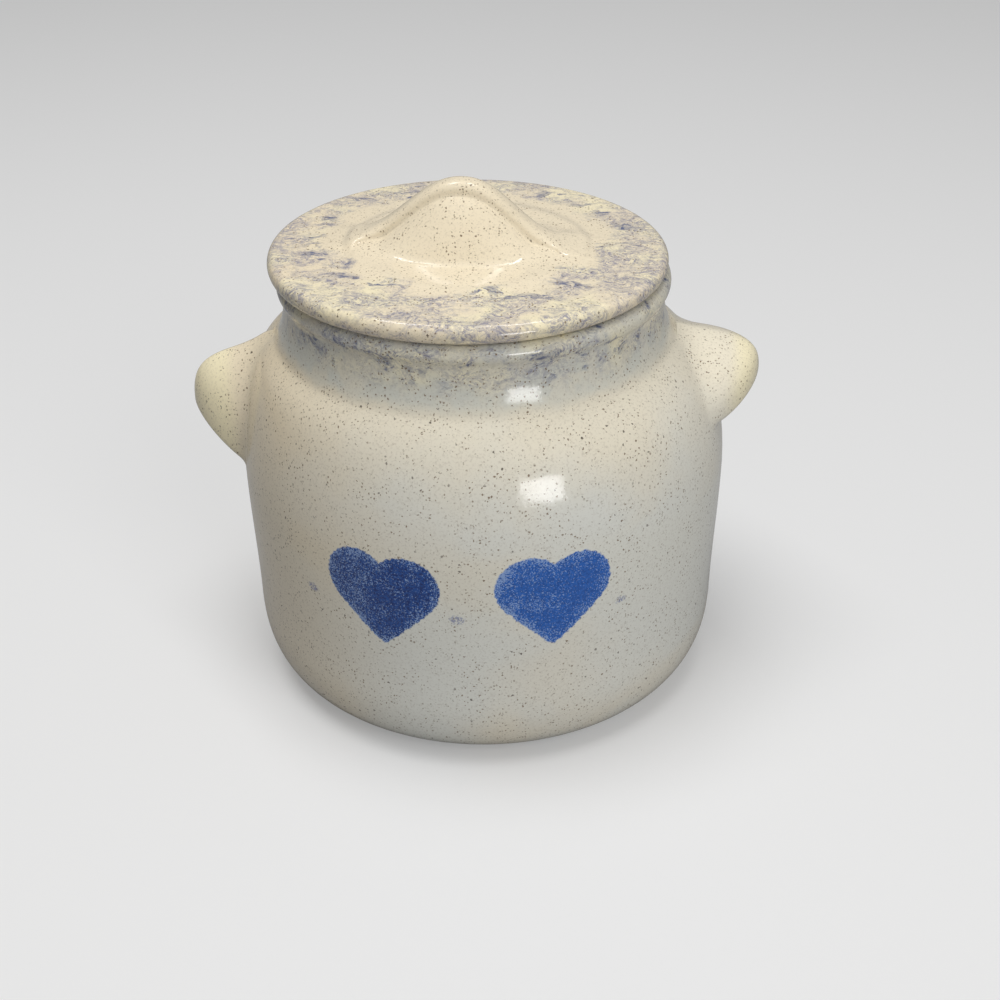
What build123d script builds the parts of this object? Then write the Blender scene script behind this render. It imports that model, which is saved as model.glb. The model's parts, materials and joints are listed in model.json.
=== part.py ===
from build123d import *
import os
from math import sqrt

# Lidded stoneware bean pot: a thrown jar, two luted-on ear lugs and a lift-off lid.
# Millimetres. +Z is up, the origin is on the table under the centre of the mouth, the lugs lie
# along X.

# ---- the jar's outside, thrown a little off the mouth's axis, towards the right lug
jar_drift = 2.2
belly_radius = 71.5
belly_height = 66.0              # the widest level, where the shoulder starts to close in
base_taper = 1.0                 # how much narrower the wall is just above the bottom corner
corner_width = 14.5
corner_height = 21.0
shoulder_width = 17.4            # from the belly's radius in to where the shoulder levels out
shoulder_height = 107.2

# ---- the foot, a bare ring round a shallow recess
foot_width = 6.5
foot_recess = 1.8
foot_round = 0.8

# ---- the neck and the mouth
waist_margin = 0.1               # the neck's waist is this far outside that level ring
waist_rise = 10.4                # from the level of the shoulder up to the waist
neck_height = 18.6               # from the level of the shoulder up to the rim
neck_root_spread = 2.8           # how much wider than its waist the neck is at the shoulder
neck_root_round = 4.0
rim_flare = 1.6                  # how far the rim stands out past the waist
rim_bead = 3.0
rim_land = 2.8                   # width of the flat ring that carries the lid
rim_inner_round = 1.0
neck_wall = 6.2                  # at its waist
mouth_round = 2.5

# ---- clay thickness
wall = 6.0
floor = 7.0

# ---- the ear lugs: hoods that spring from the shoulder and droop to a free lower edge
lug_top_drop = 1.6               # from the level of the shoulder down to the hood's root
lug_root_depth = 11.5            # each hood starts this far inside the belly's radius
lug_edge_round = 3.5
lug_finger_hollow = 3.0
lug_plan_power = 1.6             # 2 is an ellipse in plan, less is more pointed
lug_slope_power = 1.25           # 1 slopes straight from the root, more is flatter there
lug_brow_power = 2.1             # how full the hood is above its edge
left_stand_out = 13.8            # from the belly's radius out to the lug's tip
left_half_width = 19.0
left_edge_lift = 4.3             # from the widest level up to where the edge meets the wall
left_tip_rise = 14.5             # how much higher that edge is at the tip
right_stand_out = 9.6
right_half_width = 25.3
right_edge_lift = 20.0
right_tip_rise = 7.2

# ---- the lid
lid_shift = 1.5                  # the lid lies this far off the mouth's axis, to the left
lid_turn = -7.0                  # degrees that its handle is turned from the line of the lugs
lid_overhang = 0.5               # how much wider the lid is than the rim
lid_edge_thickness = 5.0
lid_edge_lift = 0.4              # from the rim's land up to the underside of the lid's edge
lid_seat_margin = 0.9            # the seat ends this far short of the rim's bead
lid_plate = 7.0
lid_border = 18.3                # from the lid's edge in to the step of its crown
crown_rise = 0.9
crown_step = 3.0
flange_clearance = 2.0           # from flange to mouth on the side that the lid lies towards
flange_thickness = 4.5
flange_depth = 7.0
flange_round = 1.5

# ---- the handle, a bell-shaped ridge pinched up from the lid's crown
handle_half_length = 31.0
handle_rise = 18.1
handle_flank_point = 0.53        # where along its half length the bell's slope is steepest
handle_flank_share = 0.58        # the share of the rise that is left there
handle_crest_half_width = 5.7
handle_crest_crown = 0.6
handle_foot_half_width = 14.6
handle_flank_hollow = 0.38       # height of the hollow flank a third of the way out
handle_crease_round = 1.2
handle_offset = 3.2              # the crest stands this far off the lid's centre, to the left
handle_bed = 1.5                 # how deep the ridge is bedded in the lid

base_radius = belly_radius - base_taper
foot_radius = base_radius - corner_width
shoulder_radius = belly_radius - shoulder_width
neck_radius = shoulder_radius + waist_margin
mouth_radius = neck_radius - neck_wall
rim_radius = neck_radius + rim_flare
rim_height = shoulder_height + neck_height
bead_radius = rim_radius - rim_bead
land_radius = bead_radius - rim_land
lug_root_radius = belly_radius - lug_root_depth
lug_top_height = shoulder_height - lug_top_drop
lid_radius = rim_radius + lid_overhang
lid_seat_radius = bead_radius - lid_seat_margin
lid_top = lid_edge_lift + lid_edge_thickness      # above the rim
crown_radius = lid_radius - lid_border


def turned(*edges, drift=0.0):
    """A solid from the wheel: a closed outline in (radius, height), turned about its axis."""
    return Pos(drift, 0, 0) * revolve(Plane.XZ * make_face(Curve() + list(edges)), Axis.Z)


def closed(path, low, high):
    """A path that climbs from height low to height high, closed along the wheel's axis."""
    top, bottom = (0, high), (0, low)
    return [*path, Line(path[-1] @ 1, top), Line(top, bottom), Line(bottom, path[0] @ 0)]


def off_axis(edge, drift=0.0):
    """How far an edge's middle is from the mouth's axis, or from one that lies off it."""
    middle = edge @ 0.5
    return Vector(middle.X - drift, middle.Y).length


def jar_side(inset, low):
    """The jar's side, inset from the outside: rounded corner, flaring wall, elliptical shoulder."""
    corner = EllipticalCenterArc(
        (foot_radius, corner_height), corner_width - inset, corner_height - low,
        start_angle=270, arc_size=90)
    side = Spline(corner @ 1, (belly_radius - inset, belly_height), tangents=[(0, 1), (0, 1)])
    shoulder = EllipticalCenterArc(
        (shoulder_radius - inset, belly_height),
        belly_radius - shoulder_radius, shoulder_height - inset - belly_height,
        start_angle=0, arc_size=90)
    return [corner, side, shoulder]


def jar_outside():
    """The jar without its neck, as a solid."""
    return turned(*closed(jar_side(0, 0), 0, shoulder_height), drift=jar_drift)


def jar_inside():
    """The hollow of the jar, a wall's thickness inside it."""
    outline = closed(jar_side(wall, floor), floor, shoulder_height - wall)
    return turned(*outline, drift=jar_drift)


def neck_outside():
    """The neck, narrowing from inside the shoulder to its waist, then its rolled rim."""
    low = shoulder_height - wall
    low_radius = neck_radius + neck_root_spread * (1 + wall / waist_rise)
    stem = Line((low_radius, low), (neck_radius, shoulder_height + waist_rise))
    flare = Spline(stem @ 1, (rim_radius, rim_height - rim_bead), tangents=[stem % 1, (0, 1)])
    bead = RadiusArc(flare @ 1, (bead_radius, rim_height), rim_bead)
    return turned(*closed([stem, flare, bead], low, rim_height))


def mouth():
    """The bore of the neck, with a short slope at its top that opens to the rim's land."""
    low = (belly_height + shoulder_height) / 2
    bore = Line((mouth_radius, low), (mouth_radius, rim_height - land_radius + mouth_radius))
    throat = Line(bore @ 1, (land_radius, rim_height))
    return turned(*closed([bore, throat], low, rim_height))


def pot_body():
    """The thrown jar with its neck, hollowed, on a bare ring foot."""
    outside = jar_outside() + neck_outside()
    root = outside.edges().filter_by(
        lambda edge: edge.length > neck_radius
        and abs((edge @ 0.5).Z - shoulder_height) < waist_rise)
    outside = fillet(root, neck_root_round)
    recess = Pos(jar_drift, 0, 0) * extrude(Circle(foot_radius - foot_width), foot_recess)
    body = outside - jar_inside() - mouth() - recess

    rings = body.edges().filter_by(lambda edge: edge.length > mouth_radius)
    foot_rings = rings.filter_by(
        lambda edge: (edge @ 0.5).Z < foot_recess + 0.01
        and off_axis(edge, jar_drift) < foot_radius - foot_width / 2)
    body = fillet(foot_rings, foot_round)
    mouth_rings = body.edges().filter_by(lambda edge: edge.length > mouth_radius).filter_by(
        lambda edge: abs(off_axis(edge) - mouth_radius) < 0.01
        and (edge @ 0.5).Z < shoulder_height)
    body = fillet(mouth_rings, mouth_round)
    land_ring = body.edges().filter_by(GeomType.CIRCLE).filter_by(
        lambda edge: abs(off_axis(edge) - land_radius) < 0.01
        and edge.length > mouth_radius)
    return fillet(land_ring, rim_inner_round)


def hood_slice(across, stand_out, half_width, edge_lift, tip_rise):
    """An upright slice of a lug, this far across it: sloping top, rounded edge, hollow underside."""
    narrowing = 1 - (abs(across) / half_width) ** lug_plan_power
    out = narrowing ** (1 / lug_plan_power)
    length = lug_root_depth + stand_out
    edge_height = belly_height + edge_lift

    def slope_point(share):
        along = share * out
        spread = (along ** lug_plan_power + 1 - narrowing) ** (1 / lug_plan_power)
        lift = max(1 - spread ** lug_slope_power, 0) ** (1 / lug_brow_power)
        droop = tip_rise * spread ** (2 - lug_plan_power) * along ** lug_plan_power
        height = edge_height + (lug_top_height - edge_height) * lift + droop
        return lug_root_radius + along * length, height

    edge_round = lug_edge_round * out
    tip = (lug_root_radius + out * length, edge_height + tip_rise * narrowing)
    under = (tip[0] - edge_round, tip[1] - edge_round)
    root = (lug_root_radius, under[1])
    hollow = ((under[0] + root[0]) / 2, under[1] + lug_finger_hollow * out)
    slope = Spline(*[slope_point(share) for share in (0, 0.35, 0.65, 0.87, 0.97)])
    edge = Spline(slope @ 1, tip, under, tangents=[slope % 1, (-1, 0)])
    underside = ThreePointArc(under, hollow, root)
    back = Line(root, slope @ 0)
    return Plane.XZ.offset(-across) * make_face(Curve() + [slope, edge, underside, back])


def lug(stand_out, half_width, edge_lift, tip_rise, turn):
    """An ear lug, lofted across, turned to its side and shaped to the jar it is luted on."""
    slices = [hood_slice(share * half_width, stand_out, half_width, edge_lift, tip_rise)
              for share in (-0.96, -0.8, -0.5, 0, 0.5, 0.8, 0.96)]
    return Pos(jar_drift, 0, 0) * Rot(0, 0, turn) * loft(slices) - jar_outside()


def ridge_slice(along, rise):
    """A slice across the handle's ridge: a narrow crest on hollow flanks, bedded in the lid."""
    crest = handle_crest_half_width
    spread = (handle_foot_half_width - crest) * sqrt(1 - (along / handle_half_length) ** 2)
    foot = crest + handle_crest_crown + spread
    flank = (crest + (foot - crest) / 3, rise * handle_flank_hollow)
    right = ThreePointArc((foot, 0), flank, (crest, rise))
    cap = ThreePointArc((crest, rise), (0, rise + handle_crest_crown), (-crest, rise))
    left = ThreePointArc((-crest, rise), (-flank[0], flank[1]), (-foot, 0))
    bed = Polyline((-foot, 0), (-foot, -handle_bed), (foot, -handle_bed), (foot, 0))
    return Plane.YZ.offset(along) * make_face(Curve() + [right, cap, left, bed])


def handle():
    """The ridge, lofted along its length under a bell-shaped outline."""
    flank_along = handle_flank_point * handle_half_length
    flank_rise = handle_flank_share * handle_rise
    bell = Spline(
        (-handle_half_length, 0), (-flank_along, flank_rise), (0, handle_rise),
        (flank_along, flank_rise), (handle_half_length, 0),
        tangents=[(1, 0.3), (1, -0.3)])
    slices = [ridge_slice((bell @ share).X, (bell @ share).Y)
              for share in (0.02, 0.1, 0.22, 0.36, 0.5, 0.64, 0.78, 0.9, 0.98)]
    ridge = loft(slices)
    creases = ridge.edges().filter_by(
        lambda edge: edge.length > 2 * handle_half_length and (edge @ 0.5).Z > handle_rise / 2)
    return fillet(creases, handle_crease_round)


def lid():
    """The lid, made from its seat up: round edge, flange that drops into the mouth, ridge handle."""
    flange_radius = mouth_radius - lid_shift - flange_clearance
    inner_radius = flange_radius - flange_thickness
    nose = lid_edge_thickness / 2
    underside = Polyline(
        (0, lid_top - lid_plate), (inner_radius, lid_top - lid_plate),
        (inner_radius, -flange_depth), (flange_radius, -flange_depth), (flange_radius, 0),
        (lid_seat_radius, 0), (lid_radius - nose, lid_edge_lift))
    edge = ThreePointArc(underside @ 1, (lid_radius, lid_top - nose), (lid_radius - nose, lid_top))
    field = Line(edge @ 1, (crown_radius + crown_step / 2, lid_top))
    step = Spline(field @ 1, (crown_radius - crown_step / 2, lid_top + crown_rise),
                  tangents=[(-1, 0), (-1, 0)])
    crown = Line(step @ 1, (0, lid_top + crown_rise))
    axis = Line(crown @ 1, underside @ 0)
    plate = turned(underside, edge, field, step, crown, axis)
    flange_rings = plate.edges().filter_by(GeomType.CIRCLE).filter_by(
        lambda ring: abs((ring @ 0.5).Z + flange_depth) < 0.01)
    plate = fillet(flange_rings, flange_round)
    ridge = Pos(-handle_offset, 0, lid_top + crown_rise) * handle()
    return Pos(-lid_shift, 0, rim_height) * Rot(0, 0, lid_turn) * (plate + ridge)


def write(shape, node):
    """One STEP file per piece, named after it."""
    export_step(shape, f"parts/{node}.step")


os.makedirs("parts", exist_ok=True)
write(pot_body(), "pot_body")
write(lug(left_stand_out, left_half_width, left_edge_lift, left_tip_rise, 180), "lug_left")
write(lug(right_stand_out, right_half_width, right_edge_lift, right_tip_rise, 0), "lug_right")
write(lid(), "lid")
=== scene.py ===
"""Skin, glaze, sponged decoration and stage for a lidded stoneware bean pot.

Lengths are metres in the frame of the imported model: Z is the axis of the mouth, the table is Z = 0,
the ear lugs lie along X and the decorated front looks along -Y.
"""
import json

import bpy
import numpy as np
from mathutils import Matrix, Vector

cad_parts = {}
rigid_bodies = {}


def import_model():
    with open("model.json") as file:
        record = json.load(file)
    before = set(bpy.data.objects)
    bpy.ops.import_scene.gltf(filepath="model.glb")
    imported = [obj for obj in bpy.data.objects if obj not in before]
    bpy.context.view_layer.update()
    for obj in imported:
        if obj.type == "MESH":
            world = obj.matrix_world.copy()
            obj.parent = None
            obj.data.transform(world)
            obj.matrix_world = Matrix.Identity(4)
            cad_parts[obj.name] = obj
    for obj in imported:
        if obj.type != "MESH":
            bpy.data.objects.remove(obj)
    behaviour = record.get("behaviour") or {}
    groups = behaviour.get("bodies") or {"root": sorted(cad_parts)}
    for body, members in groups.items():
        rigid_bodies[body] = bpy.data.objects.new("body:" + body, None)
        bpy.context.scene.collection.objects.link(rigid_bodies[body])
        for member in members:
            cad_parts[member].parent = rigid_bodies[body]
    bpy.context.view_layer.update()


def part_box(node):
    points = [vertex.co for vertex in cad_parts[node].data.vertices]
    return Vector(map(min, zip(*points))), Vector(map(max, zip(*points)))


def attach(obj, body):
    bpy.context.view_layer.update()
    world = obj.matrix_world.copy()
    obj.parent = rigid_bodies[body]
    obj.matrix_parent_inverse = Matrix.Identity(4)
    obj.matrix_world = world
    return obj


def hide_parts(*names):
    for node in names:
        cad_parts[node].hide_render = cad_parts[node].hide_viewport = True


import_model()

bl_info = {
    "name": "Stoneware Bean Pot",
    "version": (1, 0, 0),
    "blender": (4, 5, 0),
    "location": "3D View > Sidebar > Bean Pot",
    "description": "Builds a glazed, sponged bean pot with ear lugs and a lift-off lid",
    "category": "Add Mesh",
}

MM = 0.001
BODY_LOW, BODY_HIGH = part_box("pot_body")
LID_LOW, LID_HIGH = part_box("lid")
LEFT_LOW, LEFT_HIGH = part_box("lug_left")
RIGHT_LOW, RIGHT_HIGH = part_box("lug_right")
JAR_X = (BODY_LOW[0] + BODY_HIGH[0]) / 2
LID_X = (LID_LOW[0] + LID_HIGH[0]) / 2

# The wall's radius by which the width of a printed heart or dab is measured.
PRINT_RADIUS = 71.4 * MM

GLAZE_ROUGHNESS = 0.13
CLAY_ROUGHNESS = 0.68


# ---------------------------------------------------------------- sizes and colours

def length(name, default, description):
    """A length that a user would change."""
    return bpy.props.FloatProperty(
        name=name, default=default, description=description, unit="LENGTH", precision=4)


def colour(name, default, description):
    """A glaze or clay colour that a user would change, given as it looks on a screen."""
    return bpy.props.FloatVectorProperty(
        name=name, default=default, description=description, subtype="COLOR_GAMMA",
        size=3, min=0, max=1)


class JarSizes(bpy.types.PropertyGroup):
    """The thrown jar, its neck and its foot."""

    belly_radius: length("Belly radius", (BODY_HIGH[1] - BODY_LOW[1]) / 2, "Widest radius")
    belly_height: length("Belly height", 66 * MM, "Level where the shoulder starts")
    base_taper: length("Base taper", 1 * MM, "How much narrower the wall is at its bottom")
    corner_width: length("Corner width", 19.5 * MM, "Rounding at the bottom, across")
    corner_height: length("Corner height", 24.7 * MM, "Rounding at the bottom, upwards")
    shoulder_radius: length("Shoulder radius", 54.1 * MM, "Where the shoulder levels out")
    shoulder_height: length("Shoulder height", 106.8 * MM, "Level of the shoulder's top")
    shift_start: length("Shift start", 72 * MM, "Radius where rows leave the jar's own axis")
    shift_end: length("Shift end", 60.5 * MM, "Radius where they are round about the mouth's axis")
    shift_rise: length("Shift rise", 20 * MM, "Height over which they may shift, from the belly up")
    waist_radius: length("Waist radius", 54.2 * MM, "The neck where it is narrowest")
    waist_height: length("Waist height", 117.4 * MM, "Level of that waist")
    neck_spread: length("Neck spread", 2.8 * MM, "How much wider the neck is at the shoulder")
    neck_root: length("Neck root", 3.5 * MM, "Hollow round where neck meets shoulder")
    rim_height: length("Rim height", BODY_HIGH[2], "Level of the rim")
    rim_swell: length("Rim swell", 1.6 * MM, "How far the rim's bead stands out")
    rim_bead: length("Rim bead", 3 * MM, "Rounding of the bead's top")
    rim_land: length("Rim land", 2.8 * MM, "Width of the ring that carries the lid")
    mouth_radius: length("Mouth radius", 48 * MM, "Radius of the mouth")
    wall: length("Wall", 6 * MM, "Thickness of the clay")
    floor: length("Floor", 7 * MM, "Thickness of the bottom")
    foot_width: length("Foot width", 6.5 * MM, "Width of the ring that stands on the table")
    foot_radius: length("Foot radius", 56 * MM, "Outside radius of that ring")
    foot_recess: length("Foot recess", 1.8 * MM, "Depth of the hollow inside the foot")


class EarSizes(bpy.types.PropertyGroup):
    """The two ear lugs: hoods that spring from the shoulder and droop to a free edge."""

    root_depth: length("Root depth", 11.5 * MM, "How far inside the belly's radius a hood starts")
    edge_round: length("Edge round", 3.5 * MM, "Rounding of the free edge")
    finger_hollow: length("Finger hollow", 3 * MM, "Hollow of the underside")
    left_reach: length("Left reach", JAR_X - LEFT_LOW[0], "Jar's axis to the left tip")
    left_top: length("Left top", 105 * MM, "Level of the left ear's root")
    left_half_width: length("Left half width", 19 * MM, "Half the left ear's width at its root")
    left_edge: length("Left edge", 70.3 * MM, "Level where the left ear's edge meets the wall")
    left_tip_rise: length("Left tip rise", 14.5 * MM, "How much higher that edge is at the tip")
    right_reach: length("Right reach", RIGHT_HIGH[0] - JAR_X, "Jar's axis to the right tip")
    right_top: length("Right top", 106 * MM, "Level of the right ear's root")
    right_half_width: length("Right half width", 25.3 * MM, "Half the right ear's width")
    right_edge: length("Right edge", 86 * MM, "Level where the right ear's edge meets the wall")
    right_tip_rise: length("Right tip rise", 7.2 * MM, "How much higher that edge is at the tip")
    blend_above: length("Blend above", 3.5 * MM, "Softness of the crease between shoulder and ear")
    blend_below: length("Blend below", 2 * MM, "Softness of the crease under an ear")


class LidSizes(bpy.types.PropertyGroup):
    """The lid and the ridge handle pinched up from it."""

    radius: length("Radius", (LID_HIGH[0] - LID_LOW[0]) / 2, "Radius of the lid")
    edge_thickness: length("Edge thickness", 5 * MM, "Thickness of the round edge")
    edge_lift: length("Edge lift", 0.4 * MM, "From the rim up to the underside of the edge")
    plate: length("Plate", 7 * MM, "Thickness of the lid's middle")
    crown_radius: length("Crown radius", 34 * MM, "Radius of the raised middle")
    crown_rise: length("Crown rise", 0.9 * MM, "How much higher the middle is")
    seat_radius: length("Seat radius", 51.9 * MM, "Outer radius of the seat on the rim")
    flange_radius: length("Flange radius", 44.5 * MM, "Outer radius of the ring in the mouth")
    flange_thickness: length("Flange thickness", 4.5 * MM, "Thickness of that ring")
    flange_depth: length("Flange depth", 7 * MM, "How deep it hangs in the mouth")
    ridge_reach: length("Ridge reach", 16.9 * MM, "From its top to where it is half as high")
    ridge_offset: length("Ridge offset", 1.2 * MM, "How far its top is off the lid's centre")
    ridge_foot_offset: length("Ridge foot offset", 2.3 * MM, "How far its foot is off that centre")
    ridge_half_width: length("Ridge half width", 4.4 * MM, "Half the width of its rolled crest")
    ridge_roll: length("Ridge roll", 3.6 * MM, "Depth of its rolled crest")
    ridge_spread: length("Ridge spread", 4 * MM, "How much wider that crest is at the foot's ends")
    ridge_crease: length("Ridge crease", 0.25 * MM, "Softness of the crease beside the crest")
    ridge_fillet: length("Ridge fillet", 1.4 * MM, "Softness of the crease round the ridge's foot")
    ridge_foot_length: length("Ridge foot length", 28.5 * MM, "Half the length of its foot")
    ridge_foot_width: length("Ridge foot width", 15.5 * MM, "Half the width of its foot")
    warp: length("Warp", 0.8 * MM, "How much higher the lid's left side is than its right")
    turn: bpy.props.FloatProperty(
        name="Turn", default=np.radians(-7), subtype="ANGLE",
        description="Turn of the ridge from the line of the ears")


class GlazeColours(bpy.types.PropertyGroup):
    """The colours of the glaze, its sponged bands and its hearts."""

    cream: colour("Cream", (0.875, 0.845, 0.77), "Glaze of the shoulder")
    grey: colour("Grey", (0.85, 0.85, 0.82), "Cooler glaze down the wall")
    tan: colour("Tan", (0.895, 0.835, 0.72), "Warm patches, and the crown of the lid")
    # On the ears this colour is painted light; in the sponging it is the glaze's own butter yellow.
    bright: colour("Bright", (0.93, 0.89, 0.75), "Thick glaze on the ears and in the sponging")
    speck: colour("Speck", (0.24, 0.19, 0.15), "Iron specks")
    rust: colour("Rust", (0.48, 0.41, 0.33), "Faint specks and haze")
    lilac: colour("Lilac", (0.50, 0.50, 0.58), "Pale sponging")
    slate: colour("Slate", (0.31, 0.36, 0.50), "Dark streaks of the sponging")
    # Partly blurred grey sponging, partly painted shade that the lid casts on the neck.
    smoke: colour("Smoke", (0.80, 0.80, 0.76), "Blurred sponging under the rim")
    cobalt: colour("Cobalt", (0.13, 0.38, 0.72), "Hearts")
    navy: colour("Navy", (0.03, 0.16, 0.40), "Dark flecks in the hearts")
    frost: colour("Frost", (0.58, 0.68, 0.84), "Pale flecks in the hearts")
    clay: colour("Clay", (0.72, 0.60, 0.45), "Bare clay of the foot")


# ---------------------------------------------------------------- meshes

def smooth_max(a, b, width):
    """The larger of two lengths, plus a quarter of a width times the squared nearness of the two."""
    nearness = np.clip(1 - np.abs(a - b) / width, 0, 1)
    return np.maximum(a, b) + width * nearness ** 2 / 4


def smooth_step(low, high, value):
    """A share that goes from 0 at low to 1 at high as three times its square less twice its cube."""
    share = np.clip((value - low) / (high - low), 0, 1)
    return share * share * (3 - 2 * share)


def last_inside(inside, near, far):
    """The farthest place that is still inside, between a near and a far one, by thirty halvings."""
    for _ in range(30):
        middle = (near + far) / 2
        kept = inside(middle)
        near, far = np.where(kept, middle, near), np.where(kept, far, middle)
    return near


def grid_quads(index, closed):
    """Quads between neighbouring rows and columns of a grid of vertex numbers."""
    if closed:
        index = np.concatenate([index, index[:, :1]], axis=1)
    corners = [index[:-1, :-1], index[:-1, 1:], index[1:, 1:], index[1:, :-1]]
    return np.stack(corners, axis=-1).reshape(-1, 4)


def fan(pole, loop):
    """Triangles from one vertex to every side of a loop of vertices."""
    return np.stack([np.full(len(loop), pole), loop, np.roll(loop, -1)], axis=-1)


def make_mesh(name, points, faces):
    """An object whose faces point outwards: they are turned over if its signed volume is negative."""
    triangles = np.concatenate([f[:, [0, i, i + 1]] for f in faces for i in range(1, f.shape[1] - 1)])
    a, b, c = (points[triangles[:, i]] for i in range(3))
    if np.einsum("ij,ij->", a, np.cross(b, c)) < 0:
        faces = [f[:, ::-1] for f in faces]
    mesh = bpy.data.meshes.new(name)
    mesh.from_pydata(points.tolist(), [], [row for f in faces for row in f.tolist()])
    mesh.shade_smooth()
    made = bpy.data.objects.new(name, mesh)
    bpy.context.scene.collection.objects.link(made)
    return made


# ---------------------------------------------------------------- the jar and its ears

def jar_side(jar):
    """Radius and height up the jar's side, and the distance along it.

    The corner is a superellipse: sine and cosine of an angle, to the power 2 / 2.6. The wall flares
    by a smooth step. The shoulder is a quarter of an ellipse.
    """
    base = jar.belly_radius - jar.base_taper
    angle = np.linspace(0, np.pi / 2, 500)
    bulge = 2 / 2.6
    corner_r = base - jar.corner_width + jar.corner_width * np.sin(angle) ** bulge
    corner_z = jar.corner_height * (1 - np.cos(angle) ** bulge)
    wall_z = np.linspace(jar.corner_height, jar.belly_height, 100)[1:]
    wall_r = base + jar.base_taper * smooth_step(jar.corner_height, jar.belly_height, wall_z)
    shoulder_r = jar.shoulder_radius + (jar.belly_radius - jar.shoulder_radius) * np.cos(angle)[1:]
    shoulder_z = jar.belly_height + (jar.shoulder_height - jar.belly_height) * np.sin(angle)[1:]
    r = np.concatenate([corner_r, wall_r, shoulder_r])
    z = np.concatenate([corner_z, wall_z, shoulder_z])
    along = np.concatenate([[0], np.cumsum(np.hypot(np.diff(r), np.diff(z)))])
    return r, z, along


def ear_facts(ears, side):
    """The sizes of one ear, as a dictionary of plain numbers."""
    return {word: getattr(ears, f"{side}_{word}")
            for word in ("reach", "top", "half_width", "edge", "tip_rise")}


def ear_spread(ear, root, r, turn):
    """How far a place is across a hood, from 0 at its root to 1 at its free edge, and how far out.

    Both are shares of the hood's plan, a superellipse of power 1.6: the sum of the outward and the
    sideways share, each to that power, gives the spread to that power.
    """
    power = 1.6
    out = np.clip((r * np.cos(turn) - root) / (ear["reach"] - root), 0, None) ** power
    across = np.abs(r * np.sin(turn) / ear["half_width"]) ** power
    total = np.maximum(out + across, 1e-9)
    return total ** (1 / power), out / total


def hood_depth(ears, ear, root, r, z, turn):
    """How deep a place is inside a hood, negative outside.

    The top drops from the root by one less the spread to the power 1.25, to the power 1 / 2.1; the
    free edge rises towards the tip; the underside is a rounded edge that runs in to a shallow hollow.
    """
    fall, fullness = 1.25, 2.1
    spread, outward = ear_spread(ear, root, r, turn)
    inside = np.clip(spread, 0, 1)
    lift = (1 - inside ** fall) ** (1 / fullness)
    droop = ear["tip_rise"] * outward
    top = ear["edge"] + (ear["top"] - ear["edge"]) * lift + droop * inside ** 2
    reach = ear["reach"] - root
    round_share = np.clip(1 - (1 - inside) * reach / ears.edge_round, 0, 1)
    edge = ears.edge_round * np.sqrt(1 - round_share ** 2)
    hollow = ears.finger_hollow * np.sin(np.pi * np.clip(1 - inside, 0, 1)) * outward
    under = ear["edge"] + droop - edge + hollow
    return np.where(spread < 1, np.minimum(top - z, z - under), (1 - spread) * reach)


def hood_distance(ears, ear, root, start, direction, turn):
    """How far a ray goes from inside a hood to its skin, at most 60 mm."""
    def inside(distance):
        r = start[0] + distance * direction[0]
        z = start[1] + distance * direction[1]
        return hood_depth(ears, ear, root, r, z, turn) > 0

    nothing = np.zeros_like(direction[0])
    return last_inside(inside, nothing, nothing + 60 * MM)


def edge_level(ear, root, turn):
    """The level of a hood's free edge at each turn from its middle."""
    nearest = np.full_like(turn, root)
    edge_r = last_inside(lambda r: ear_spread(ear, root, r, turn)[0] < 1, nearest, 3 * nearest)
    return ear["edge"] + ear["tip_rise"] * ear_spread(ear, root, edge_r, turn)[1]


def wrapped(angle):
    """An angle brought to within half a turn of zero."""
    return (angle + np.pi) % (2 * np.pi) - np.pi


def neck_line(jar, z):
    """Radius of the neck below its waist, and the angle by which it leans in there.

    With the share of the way down from the waist to the shoulder, the neck is wider than its waist
    by the neck's spread times 0.15 of that share and 0.85 of its square.
    """
    straight, curved = 0.15, 0.85
    rise = jar.waist_height - jar.shoulder_height
    share = (jar.waist_height - z) / rise
    radius = jar.waist_radius + jar.neck_spread * (straight * share + curved * share ** 2)
    return radius, np.arctan(jar.neck_spread / rise * (straight + 2 * curved * share))


def shoulder_at(jar, r):
    """Level of the shoulder's quarter ellipse at a radius, and the angle by which it falls there."""
    across = jar.belly_radius - jar.shoulder_radius
    rise = jar.shoulder_height - jar.belly_height
    share = np.clip((r - jar.shoulder_radius) / across, 0, 0.999)
    lift = np.sqrt(1 - share ** 2)
    return jar.belly_height + rise * lift, np.arctan(rise / across * share / lift)


def neck_middle(jar, z):
    """The radius at which a ball with its middle at this level touches the neck, and the lean there."""
    lean = 0.0
    for _ in range(8):
        radius, lean = neck_line(jar, z - jar.neck_root * np.sin(lean))
    return radius + jar.neck_root * np.cos(lean), lean


def neck_foot(jar):
    """Where the round at the neck's root leaves the shoulder, and how steep the shoulder is there.

    The round has the radius neck_root and touches both the leaning neck and the shoulder; the place
    is found by repeating: slope, then the point that a ball with that slope touches.
    """
    r = jar.waist_radius + jar.neck_root
    for _ in range(20):
        height, slope = shoulder_at(jar, r)
        middle_r, _ = neck_middle(jar, height + jar.neck_root * np.cos(slope))
        r = (r + middle_r - jar.neck_root * np.sin(slope)) / 2
    return r, *shoulder_at(jar, r)


def side_grid(jar, level):
    """Radii and heights of the rows up the jar's side, which crowd about the ears' free edges."""
    r, z, along = jar_side(jar)
    foot_r, _, _ = neck_foot(jar)
    shoulder = z >= jar.belly_height
    top = np.interp(-foot_r, -r[shoulder], along[shoulder])
    corner = np.interp(0.75 * jar.corner_height, z, along)
    below = np.interp(level - 9 * MM, z, along)
    above = np.interp(level + 3 * MM, z, along)
    marks = [0 * level, 0 * level + corner, below, above, 0 * level + top]
    rows = (22, 18, 44, 50)
    spans = [start + (end - start) * np.linspace(0, 1, count, endpoint=False)[:, None]
             for start, end, count in zip(marks, marks[1:], rows)]
    stations = np.concatenate([*spans, marks[-1][None, :]])
    return np.interp(stations, along, r), np.interp(stations, along, z)


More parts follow.
